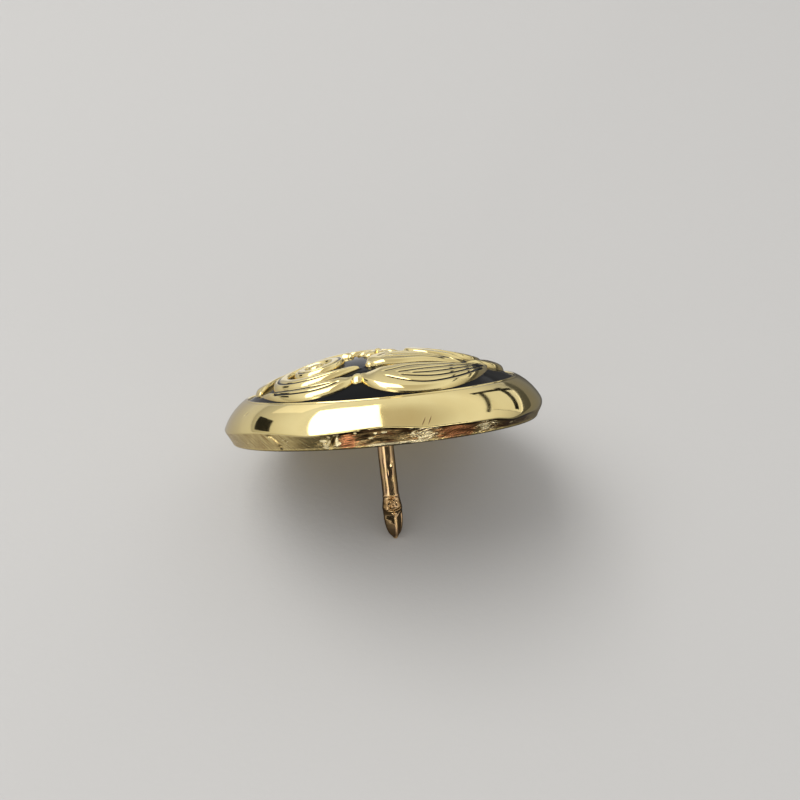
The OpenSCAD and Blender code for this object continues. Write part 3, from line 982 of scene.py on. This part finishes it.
def filed_gold(add, colours):
    """Gold plate over a hand-filed band.

    Left of the nick the file ran slantwise, and the eye sees fine satin lines. Right of it there are long
    deep streaks with bright cuts, and reddish base metal where the file went through. The cuts' pale colour
    is partly a painted highlight, a painted highlight runs along the lower edge, and painted shade darkens
    the band just under the crease and over one stretch. A fine file leaves scratches about 0.03 mm wide, and
    they are drawn 0.08 mm wide so that they show.
    """
    flow = add("UVMap", uv_map="surface_mm")
    along = add("SeparateXYZ", {0: flow}, "X")
    down = along.node.outputs["Y"]
    torn_part = stretch(add, along, TORN)
    # The file's marks fade to a fifth on the far side
    fading = add("MapRange", {0: along, 1: -8.0, 2: -5.0, 3: 1.0, 4: 0.2})
    growing = add("MapRange", {0: along, 1: 33.0, 2: 37.0, 3: 0.2, 4: 1.0})
    near = add("Math", {0: fading, 1: growing}, operation="MAXIMUM")
    fine = streaks(add, flow, 1.6, 0.08, 38)
    deep = streaks(add, flow, 1.5, 0.075, -4, 5.0)
    cloud = streaks(add, flow, 1.2, 0.35, 8, 5.0)
    torn = streaks(add, flow, 0.7, 0.1, -14, 2.0)
    scores = streaks(add, flow, 0.5, 0.05, 30, 2.0)
    height = add("Mix", {0: torn_part, 2: fine, 3: deep})
    height = add("Mix", {0: near, 2: 0.5, 3: height})

    # Fresh cuts, broken up by the torn noise: where the file chattered, and the glints
    chattered = add("Math", {0: torn, 1: 3.0, 2: marks(add, flow, CHATTER)}, operation="MULTIPLY_ADD")
    chattered = add("MapRange", {0: chattered, 1: 2.05, 2: 2.25})
    glints = add("Math", {0: marks(add, flow, GLINTS), 1: torn}, operation="MULTIPLY")
    glints = add("MapRange", {0: glints, 1: 0.06, 2: 0.18})
    cut = add("Math", {0: chattered, 1: glints}, operation="MAXIMUM")
    uncut = add("MapRange", {0: cut, 3: 1.0, 4: 0.0})
    steps = add("Math", {0: down, 1: CHATTER_STEP}, operation="DIVIDE")
    steps = add("Math", {0: steps}, operation="FRACT")
    chatter = add("Math", {0: cut, 1: steps}, operation="MULTIPLY")

    # Base metal
    bare = add("Math", {0: torn, 1: 1.6, 2: marks(add, flow, BARE_PATCHES)}, operation="MULTIPLY_ADD")
    bare = add("MapRange", {0: bare, 1: 1.2, 2: 1.45})
    left_bare = add("MapRange", {0: cut, 3: 1.0, 4: 0.3})
    bare = add("Math", {0: bare, 1: left_bare}, operation="MULTIPLY")

    # Painted shade: a dark line just under the crease on the torn stretch, and a darker stretch of the band.
    # Then the dark marks in the nick and the gouges
    under = add("MapRange", {0: down, 1: 0.12, 2: 0.2, 3: 0.9, 4: 0.0})
    under = add("Math", {0: torn_part, 1: under}, operation="MULTIPLY")
    under = add("Math", {0: under, 1: uncut}, operation="MULTIPLY")
    over = add("Math", {0: stretch(add, along, PAINTED_SHADE_STRETCH, 0.5), 1: uncut}, operation="MULTIPLY")
    under = add("Math", {0: under, 1: over}, operation="MAXIMUM")
    dirt = add("MapRange", {0: marks(add, flow, DARK_MARKS), 1: 0.1, 2: 0.7, 4: 0.9})
    dirt = add("Math", {0: dirt, 1: under}, operation="MAXIMUM")

    # Brown stain: clouds of it on the right, and the file's fine lines on the left
    stain = add("MapRange", {0: cloud, 1: 0.35, 2: 0.6, 3: 0.5, 4: 0.95})
    stain = add("Math", {0: torn_part, 1: stain}, operation="MULTIPLY")
    stain = add("Math", {0: stain, 1: uncut}, operation="MULTIPLY")
    dull = add("MapRange", {0: fine, 1: 0.46, 2: 0.6, 4: 0.5})
    dull = add("Math", {0: dull, 1: near}, operation="MULTIPLY")
    stain = add("Math", {0: stain, 1: dull}, operation="MAXIMUM")
    above_edge = add("MapRange", {0: down, 1: 0.94, 2: 1.0, 3: 1.0, 4: 0.0})
    stain = add("Math", {0: stain, 1: above_edge}, operation="MULTIPLY")

    # Pale gold in the cuts, partly the cut metal's own colour and partly a painted highlight, and a painted
    # highlight along the low edge
    edge = add("MapRange", {0: down, 1: 0.87, 2: 0.92})
    edge = add("Math", {0: stretch(add, along, PAINTED_EDGE_HIGHLIGHT), 1: edge}, operation="MULTIPLY")
    pale = add("MapRange", {0: torn, 1: 0.42, 2: 0.56, 3: 0.45})
    pale = add("Math", {0: cut, 1: pale}, operation="MULTIPLY")
    pale = add("Math", {0: pale, 1: edge}, operation="MAXIMUM")

    share = add("MapRange", {0: height, 1: 0.35, 2: 0.65, 4: 0.8})
    colour = add("Mix", {0: share, 6: colours.gold, 7: colours.gold_deep}, 2, data_type="RGBA")
    colour = add("Mix", {0: stain, 6: colour, 7: colours.tarnish}, 2, data_type="RGBA")
    share = add("MapRange", {0: along, 1: -21.0, 2: -19.0, 4: 0.55})
    base = add("Mix", {0: share, 6: colours.copper, 7: colours.tarnish}, 2, data_type="RGBA")
    colour = add("Mix", {0: bare, 6: colour, 7: base}, 2, data_type="RGBA")
    # Painted highlight: the pale gold of the cuts and along the low edge
    colour = add("Mix", {0: pale, 6: colour, 7: colours.cut_gold_and_highlight}, 2, data_type="RGBA")
    # Painted shade under the crease and over the shaded stretch, with the dark marks, in the dark colour
    colour = add("Mix", {0: dirt, 6: colour, 7: colours.dirt}, 2, data_type="RGBA")

    rough = add("MapRange", {0: height, 1: 0.3, 2: 0.7, 3: 0.16, 4: 0.3})
    rough = add("Math", {0: torn_part, 1: -0.12, 2: rough}, operation="MULTIPLY_ADD")
    worked = add("Math", {0: bare, 1: cut}, operation="MAXIMUM")
    rough = add("Math", {0: worked, 1: 0.14, 2: rough}, operation="MULTIPLY_ADD")
    relief = [(height, 1.0, 0.036), (chatter, 1.0, 0.042), (scores, 0.4, 0.003)]
    return {"Base Color": colour, "Metallic": 1.0, "Roughness": rough}, relief


def struck_gold(add, colours):
    """Gold plate over die-struck relief.

    The eye sees bright metal, softly uneven, and duller and deeper in colour down by the enamel, where the
    buff doesn't reach. The surface's second measure is its height over the enamel.
    """
    place = add("TexCoord", output="Object")
    height = add("SeparateXYZ", {0: add("UVMap", uv_map="surface_mm")}, "Y")
    stain = add("TexNoise", {"Vector": place, "Scale": per_mm(1.6), "Detail": 4.0})
    grain = add("TexNoise", {"Vector": place, "Scale": per_mm(0.5), "Detail": 2.0})
    wave = add("TexNoise", {"Vector": place, "Scale": per_mm(1.6), "Detail": 1.0})
    low = add("MapRange", {0: height, 1: 0.04, 2: 0.26, 3: 1.0, 4: 0.15})
    tone = add("Math", {0: stain, 1: low}, operation="MULTIPLY")
    colour = add("Mix", {0: tone, 6: colours.gold, 7: colours.gold_deep}, 2, data_type="RGBA")
    rough = add("MapRange", {0: tone, 2: 0.6, 3: 0.07, 4: 0.22})
    relief = [(wave, 0.6, 0.02), (grain, 0.4, 0.005)]
    return {"Base Color": colour, "Metallic": 1.0, "Roughness": rough}, relief


def satin_gold(add, colours):
    """Gold plate over an unpolished stamped back.

    The eye sees a satin surface. The die's grain is about 0.03 mm, and is drawn 0.12 mm so that it shows.
    """
    place = add("TexCoord", output="Object")
    grain = add("TexNoise", {"Vector": place, "Scale": per_mm(0.12), "Detail": 4.0})
    cloud = add("TexNoise", {"Vector": place, "Scale": per_mm(4.0), "Detail": 4.0})
    colour = add("Mix", {0: cloud, 6: colours.gold, 7: colours.gold_deep}, 2, data_type="RGBA")
    rough = add("MapRange", {0: cloud, 1: 0.3, 2: 0.7, 3: 0.29, 4: 0.38})
    return {"Base Color": colour, "Metallic": 1.0, "Roughness": rough}, [(grain, 0.6, 0.01)]


def drawn_post(add, colours):
    """Drawn wire with a thin redder plate.

    The eye sees a soft gloss, darker stains in the crimp and a duller ridge down the front of the point. The
    die's lines run lengthwise. They are about 0.01 mm apart, and are drawn 0.09 mm wide so that they show.
    """
    place = add("TexCoord", output="Object")
    flow = add("UVMap", uv_map="surface_mm")
    level = add("SeparateXYZ", {0: flow}, "X")
    stain = add("TexNoise", {"Vector": place, "Scale": per_mm(0.7), "Detail": 5.0})
    share = add("MapRange", {0: stain, 1: 0.4, 2: 0.7, 4: 0.6})
    colour = add("Mix", {0: share, 6: colours.post, 7: colours.gold_deep}, 2, data_type="RGBA")
    dirt = add("MapRange", {0: stain, 1: 0.45, 2: 0.62, 4: 0.6})
    dirt = add("Math", {0: stretch(add, level, CRIMPED), 1: dirt}, operation="MULTIPLY")
    colour = add("Mix", {0: dirt, 6: colour, 7: colours.tarnish}, 2, data_type="RGBA")
    rough = add("MapRange", {0: stain, 1: 0.3, 2: 0.7, 3: 0.07, 4: 0.18})
    shaft = add("MapRange", {0: level, 1: -6.4, 2: -6.2, 3: -0.05, 4: 0.03})
    rough = add("Math", {0: rough, 1: shaft}, operation="ADD")
    off = add("SeparateXYZ", {0: place}, "X")
    off = add("Math", {0: off, 1: 0.1 * MM}, operation="SUBTRACT")
    off = add("Math", {0: off}, operation="ABSOLUTE")
    ridge = add("MapRange", {0: off, 1: 0.07 * MM, 2: 0.14 * MM, 3: 0.5, 4: 0.0})
    point = add("MapRange", {0: level, 1: -6.6, 2: -6.4, 3: 1.0, 4: 0.0})
    ridge = add("Math", {0: ridge, 1: point}, operation="MULTIPLY")
    rough = add("Math", {0: rough, 1: ridge}, operation="MAXIMUM")
    relief = [(streaks(add, flow, 2.0, 0.09, 0), 0.5, 0.003)]
    return {"Base Color": colour, "Metallic": 1.0, "Roughness": rough}, relief


def solder_metal(add, colours):
    """Silver solder under the plate: the eye sees it paler and duller than the post, with a pitted skin."""
    place = add("TexCoord", output="Object")
    pits = add("TexNoise", {"Vector": place, "Scale": per_mm(0.3), "Detail": 4.0})
    colour = add("Mix", {0: pits, 6: colours.solder, 7: colours.gold_deep}, 2, data_type="RGBA")
    rough = add("MapRange", {0: pits, 1: 0.3, 2: 0.7, 3: 0.29, 4: 0.42})
    return {"Base Color": colour, "Metallic": 1.0, "Roughness": rough}, [(pits, 0.6, 0.03)]


def black_enamel(add, colours):
    """Hard enamel, fired and polished: the eye sees deep black glass with a faint wave and a few smears."""
    place = add("TexCoord", output="Object")
    smear = add("TexNoise", {"Vector": place, "Scale": per_mm(2.0), "Detail": 4.0})
    wave = add("TexNoise", {"Vector": place, "Scale": per_mm(0.9), "Detail": 1.0})
    rough = add("MapRange", {0: smear, 1: 0.4, 2: 0.7, 3: 0.03, 4: 0.12})
    values = {"Base Color": colours.enamel, "Metallic": 0.0, "Roughness": rough}
    return {**values, "IOR": 1.42, "Specular IOR Level": 0.06}, [(wave, 0.4, 0.006)]


def paper_board(add, colours):
    """Matt paper board: the eye sees it even and pale.

    Its fibres are finer than 0.05 mm, and are drawn 0.5 mm so that they show near the pin.
    """
    place = add("TexCoord", output="Object")
    fibre = add("TexNoise", {"Vector": place, "Scale": per_mm(0.5), "Detail": 5.0, "Roughness": 0.6})
    return {"Base Color": colours.floor, "Roughness": 0.75}, [(fibre, 0.35, 0.05)]


def table_card(add, colours):
    """Painted card under the pin, seen only in its reflections.

    It is nearly black in front and to the right, and mid grey to the left and behind. Places on it are in
    metres from the middle of the pin.
    """
    place = add("TexCoord", output="Object")
    reach = add("VectorMath", {0: place}, "Value", operation="LENGTH")
    far = add("VectorMath", {0: place, 1: (-0.825, 0.566, 0.0)}, "Value", operation="DOT_PRODUCT")
    right = add("VectorMath", {0: place, 1: (0.996, -0.087, 0.0)}, "Value", operation="DOT_PRODUCT")
    shades = ("#212121", "#3F3D3B", "#61605D", "#939190", "#A8A8A8", "#D3D3D3")
    black, charcoal, slate, grey, light_grey, pale = (rgba(shade) for shade in shades)
    share = add("MapRange", {0: reach, 1: 0.036, 2: 0.046})
    front = add("Mix", {0: share, 6: charcoal, 7: black}, 2, data_type="RGBA")
    share = add("MapRange", {0: right, 1: 0.052, 2: 0.055})
    side = add("Mix", {0: share, 6: slate, 7: black}, 2, data_type="RGBA")
    share = add("MapRange", {0: right, 1: 0.33, 2: 0.335})
    side = add("Mix", {0: share, 6: side, 7: pale}, 2, data_type="RGBA")
    share = add("MapRange", {0: right, 1: 0.015, 2: 0.02})
    front = add("Mix", {0: share, 6: front, 7: side}, 2, data_type="RGBA")
    share = add("MapRange", {0: reach, 1: 0.025, 2: 0.06})
    left = add("Mix", {0: share, 6: grey, 7: light_grey}, 2, data_type="RGBA")
    share = add("MapRange", {0: far, 1: 0.0073, 2: 0.0133})
    shade = add("Mix", {0: share, 6: front, 7: left}, 2, data_type="RGBA")
    return {"Base Color": shade, "Roughness": 0.8}, []


def pale_card(add, colours):
    """Pale matt card behind the pin: the eye sees it only in the tops of the scrolls."""
    return {"Base Color": rgba("#CECECE"), "Roughness": 0.8}, []


def black_cloth(add, colours):
    """Black cloth stretched on a frame beside the lights: it puts crisp dark edges in the metal."""
    return {"Base Color": rgba("#272727"), "Roughness": 0.9, "Specular IOR Level": 0.0}, []


# Each material's name and the function that makes it
FINISHES = {
    "polished_gold_plate": polished_gold,
    "filed_gold_plate": filed_gold,
    "struck_gold_plate": struck_gold,
    "satin_gold_plate": satin_gold,
    "drawn_post_metal": drawn_post,
    "plated_solder": solder_metal,
    "fired_black_enamel": black_enamel,
    "matt_paper_board": paper_board,
    "grey_and_black_card": table_card,
    "pale_card": pale_card,
    "black_cloth": black_cloth,
}


def finish(name):
    """The material of that name, made on its first use and shared after that.

    Its function gives the shader's values, and its relief as layers of height, strength and depth in
    millimetres, each of which is a bump over the one before.
    """
    material = bpy.data.materials.get(name)
    if material:
        return material
    material = bpy.data.materials.new(name)
    material.use_nodes = True
    material.node_tree.nodes.clear()
    add = partial(add_node, material.node_tree)
    group = bpy.context.scene.pin_colours
    colours = SimpleNamespace(**{key: (*getattr(group, key), 1.0) for key in group.__annotations__})
    values, relief = FINISHES[name](add, colours)
    for height, strength, depth in relief:
        layer = {"Height": height, "Strength": strength, "Distance": depth * MM}
        if "Normal" in values:
            layer["Normal"] = values["Normal"]
        values["Normal"] = add("Bump", layer)
    add("OutputMaterial", {"Surface": add("BsdfPrincipled", values)})
    return material


# Pieces


class PIN_OT_rim(bpy.types.Operator):
    """Builds the disc with its bevel, lip, filed band and hollow back"""

    bl_idname = "lapel_pin.rim"
    bl_label = "Bevelled rim"

    def execute(self, context):
        finishes = ("polished_gold_plate", "filed_gold_plate", "satin_gold_plate")
        make_piece("bevelled_rim", [rim_skin(measures(context))], finishes, "struck_disc")
        return {"FINISHED"}


class PIN_OT_leaves(bpy.types.Operator):
    """Builds the leaves, sprigs, buds and volutes on both halves of the face, and the lines in them"""

    bl_idname = "lapel_pin.leaves"
    bl_label = "Leaves and volutes"

    def execute(self, context):
        m = measures(context)
        inlay = []
        for name, (shape, lines, height, crest, rows, across) in SCROLLS.items():
            track = volute_track(rows) if shape is VOLUTE else leaf_track(shape, rows)
            skins = [scroll_skin(track, m, a, height, across, lines, crest) for a in HALVES]
            inlay += [line_skin(track, line, m, a, height, crest) for line in lines for a in HALVES]
            make_piece(name, skins, ("struck_gold_plate",), "struck_disc")
        edge = round_edge(VOLUTE.eye)
        eyes = [boss_skin(VOLUTE.middle, edge, m, a, EYE_HIGH, ringed_shape, 40, 128) for a in HALVES]
        make_piece("volute_eyes", eyes, ("struck_gold_plate",), "struck_disc")
        make_piece("enamel_lines", inlay, ("fired_black_enamel",), "enamel")
        return {"FINISHED"}


class PIN_OT_rosette(bpy.types.Operator):
    """Builds the rosette in the middle and the two beads by the rim"""

    bl_idname = "lapel_pin.rosette"
    bl_label = "Rosette and beads"

    def execute(self, context):
        m = measures(context)
        middle, radius = BEAD
        skins = [
            boss_skin((0, 0), rosette_edge, m, SCROLLS_TURN, PETALS_HIGH, rosette_shape, 44, 240),
            boss_skin((0, 0), round_edge(ROSETTE.button), m, SCROLLS_TURN, BUTTON_HIGH, dome_shape, 20, 72),
        ]
        make_piece("rosette", skins, ("struck_gold_plate",), "struck_disc")
        beads = [boss_skin(middle, round_edge(radius), m, a, BEAD_HIGH, dome_shape, 22, 80) for a in HALVES]
        make_piece("beads", beads, ("struck_gold_plate",), "struck_disc")
        return {"FINISHED"}


class PIN_OT_enamel(bpy.types.Operator):
    """Builds the black enamel between the scrolls"""

    bl_idname = "lapel_pin.enamel"
    bl_label = "Black enamel"

    def execute(self, context):
        fill = [enamel_skin(measures(context))]
        make_piece("black_enamel_fill", fill, ("fired_black_enamel",), "enamel")
        return {"FINISHED"}


class PIN_OT_post(bpy.types.Operator):
    """Builds the soldered post with its crimp and point"""

    bl_idname = "lapel_pin.post"
    bl_label = "Soldered post"

    def execute(self, context):
        finishes = ("drawn_post_metal", "plated_solder")
        make_piece("soldered_post", [post_skin(measures(context))], finishes, "struck_disc")
        return {"FINISHED"}


# Stage

# Plain panels round the pin: name, azimuth, elevation, distance, width, height, roll in degrees, lean and
# radiance. Azimuth 0 is behind the pin as the camera sees it, and 90 is to its right. Those without radiance
# are black flags. Roll lifts a panel's left side. Lean is how far a flag's top moves left for each step up.
PANELS = (
    ("side_softbox", 54, 13.2, 0.7, 0.36, 0.344, 0, 0, 0.74),
    ("back_softbox", -22.5, 20, 0.7, 0.24, 0.24, 0, 0, 0.27),
    ("front_softbox", -138, 26, 0.7, 0.24, 0.36, 0, 0, 0.9),
    ("front_strip", 168, 12, 0.56, 1.0, 0.08, 0, 0, 3.8),
    ("flag_right", 52.5, 13.7, 0.74, 0.43, 0.35, 0, 0, 0.0),
    ("bar_high", 56, 27, 0.66, 0.4, 0.036, -13, 0, 0.0),
    ("bar_low", 50, 6.6, 0.66, 0.36, 0.048, 5, 0, 0.0),
    ("flag_left", -48.5, 9.6, 0.6, 0.18, 0.14, -7, 0.7, 0.0),
    ("flag_front", 163, 33.5, 0.6, 0.96, 0.3, -11, 0, 0.0),
    ("flag_side", -120, 2, 0.6, 0.5, 0.16, 25, 0, 0.0),
)
PANELS_AIM = (0, 0, 0.008)
# Two softboxes hang level overhead and overlap: name, middle, sides, turn and radiance
SOFTBOXES = (
    ("overhead_softbox", (-0.203, 0.156, 0.5), (0.34, 0.605), -5, 2.7),
    ("overhead_wing", (-0.402, 0.175, 0.5), (0.23, 0.79), -28, 2.7),
)
# Level sheets, in metres: left, right, near and far side, and height. The floor lies a hair under the pin.
FLOOR = (-3.0, 3.0, -3.0, 3.0, -0.000005)
TABLE_CARD = (-0.78, 0.78, -0.78, 0.78, 0.0002)
PALE_CARD = (-0.01, 0.011, 0.016, 0.25, 0.0004)
# The sky's colour by the sine of the elevation
SKY = (
    (0.0, "#ADADAD"), (0.28, "#D7D7D8"), (0.55, "#EFF2F9"), (0.75, "#E5E7EC"), (0.92, "#C8C5C2"),
    (1.0, "#C4C0BD"),
)


def facing(way):
    """Turn that points an object's Z along way, with its Y as high as it can be."""
    return way.to_track_quat("Z", "Y").to_matrix().to_4x4()


def level_corners(left, right, near, far, height):
    """Corners of a level rectangle."""
    return [(left, near, height), (right, near, height), (right, far, height), (left, far, height)]


def lay_sheet(name, corners, finish_name):
    """A flat sheet of the stage between four corners."""
    mesh = bpy.data.meshes.new(name)
    mesh.from_pydata([tuple(corner) for corner in corners], [], [(0, 1, 2, 3)])
    mesh.materials.append(finish(finish_name))
    sheet = bpy.data.objects.new(name, mesh)
    bpy.context.scene.collection.objects.link(sheet)
    return sheet


def lay_card(name, corners, finish_name):
    """A sheet that shows only in reflections."""
    card = lay_sheet(name, corners, finish_name)
    card.visible_camera = card.visible_diffuse = card.visible_shadow = False


def hang_light(name, width, height, radiance, place):
    """A softbox of that radiance: its power is pi times the radiance times its area."""
    lamp = bpy.data.lights.new(name, "AREA")
    lamp.shape = "RECTANGLE"
    lamp.size, lamp.size_y, lamp.energy = width, height, radiance * np.pi * width * height
    light = bpy.data.objects.new(name, lamp)
    light.matrix_world = place
    light.visible_camera = False
    bpy.context.scene.collection.objects.link(light)


def studio_sky():
    """The light from all round: its colour follows the sine of the elevation only."""
    world = bpy.data.worlds.new("studio_sky")
    world.use_nodes = True
    world.node_tree.nodes.clear()
    add = partial(add_node, world.node_tree)
    way = add("TexCoord", output="Generated")
    colour = add("ValToRGB", {0: add("SeparateXYZ", {0: way}, "Z")})
    stops = colour.node.color_ramp.elements
    while len(stops) < len(SKY):
        stops.new(0.5)
    for stop, (sine, shade) in zip(stops, SKY):
        stop.position, stop.color = sine, rgba(shade)
    add("OutputWorld", {"Surface": add("Background", {"Color": colour})})
    return world


def studio_camera():
    """The camera, at its place and with its lens."""
    lens = bpy.data.cameras.new("camera")
    lens.lens, lens.sensor_width = CAMERA_LENS, CAMERA_SENSOR
    lens.clip_start, lens.clip_end = CAMERA_CLIP
    camera = bpy.data.objects.new("camera", lens)
    place = Vector(CAMERA_PLACE) * MM
    camera.matrix_world = Matrix.Translation(place) @ facing(-Vector(CAMERA_AIM).normalized())
    bpy.context.scene.collection.objects.link(camera)
    return camera


class PIN_OT_stage(bpy.types.Operator):
    """Builds the floor, the lights, the sky and the camera"""

    bl_idname = "lapel_pin.stage"
    bl_label = "Stage"

    def execute(self, context):
        lay_sheet("floor", level_corners(*FLOOR), "matt_paper_board")
        for name, azimuth, elevation, far, width, height, roll, lean, radiance in PANELS:
            a, e = np.radians(azimuth), np.radians(elevation)
            way = Vector((np.sin(a) * np.cos(e), np.cos(a) * np.cos(e), np.sin(e)))
            place = Matrix.Translation(Vector(PANELS_AIM) + way * far) @ facing(way)
            place = place @ Matrix.Rotation(np.radians(roll), 4, "Z")
            if radiance > 0:
                hang_light(name, width, height, radiance, place)
            else:
                ends = ((-1, -1), (1, -1), (1, 1), (-1, 1))
                spots = [Vector((x * width / 2 + lean * y * height / 2, y * height / 2, 0)) for x, y in ends]
                lay_card(name, [place @ spot for spot in spots], "black_cloth")
        for name, middle, (width, height), turn, radiance in SOFTBOXES:
            place = Matrix.Translation(middle) @ Matrix.Rotation(np.radians(turn), 4, "Z")
            hang_light(name, width, height, radiance, place)
        lay_card("table_card", level_corners(*TABLE_CARD), "grey_and_black_card")
        lay_card("pale_card", level_corners(*PALE_CARD), "pale_card")
        context.scene.world = studio_sky()
        context.scene.camera = studio_camera()
        context.scene.view_settings.view_transform = "Standard"
        return {"FINISHED"}


# Add-on


class PIN_PT_panel(bpy.types.Panel):
    """Lists the pin's pieces, sizes and colours"""

    bl_idname = "PIN_PT_panel"
    bl_label = "Lapel pin"
    bl_space_type = "VIEW_3D"
    bl_region_type = "UI"
    bl_category = "Lapel pin"

    def draw(self, context):
        for operator in OPERATORS:
            self.layout.operator(operator.bl_idname)
        for group in (context.scene.pin_sizes, context.scene.pin_colours):
            for name in group.__annotations__:
                self.layout.prop(group, name)


OPERATORS = (PIN_OT_rim, PIN_OT_leaves, PIN_OT_rosette, PIN_OT_enamel, PIN_OT_post, PIN_OT_stage)
CLASSES = (PinSizes, PinColours, *OPERATORS, PIN_PT_panel)


def register():
    for cls in CLASSES:
        bpy.utils.register_class(cls)
    bpy.types.Scene.pin_sizes = PointerProperty(type=PinSizes)
    bpy.types.Scene.pin_colours = PointerProperty(type=PinColours)


def unregister():
    del bpy.types.Scene.pin_colours
    del bpy.types.Scene.pin_sizes
    for cls in reversed(CLASSES):
        bpy.utils.unregister_class(cls)


def main():
    """Builds every piece and the stage."""
    register()
    for operator in OPERATORS:
        group, name = operator.bl_idname.split(".")
        getattr(getattr(bpy.ops, group), name)()


if __name__ == "__main__":
    main()
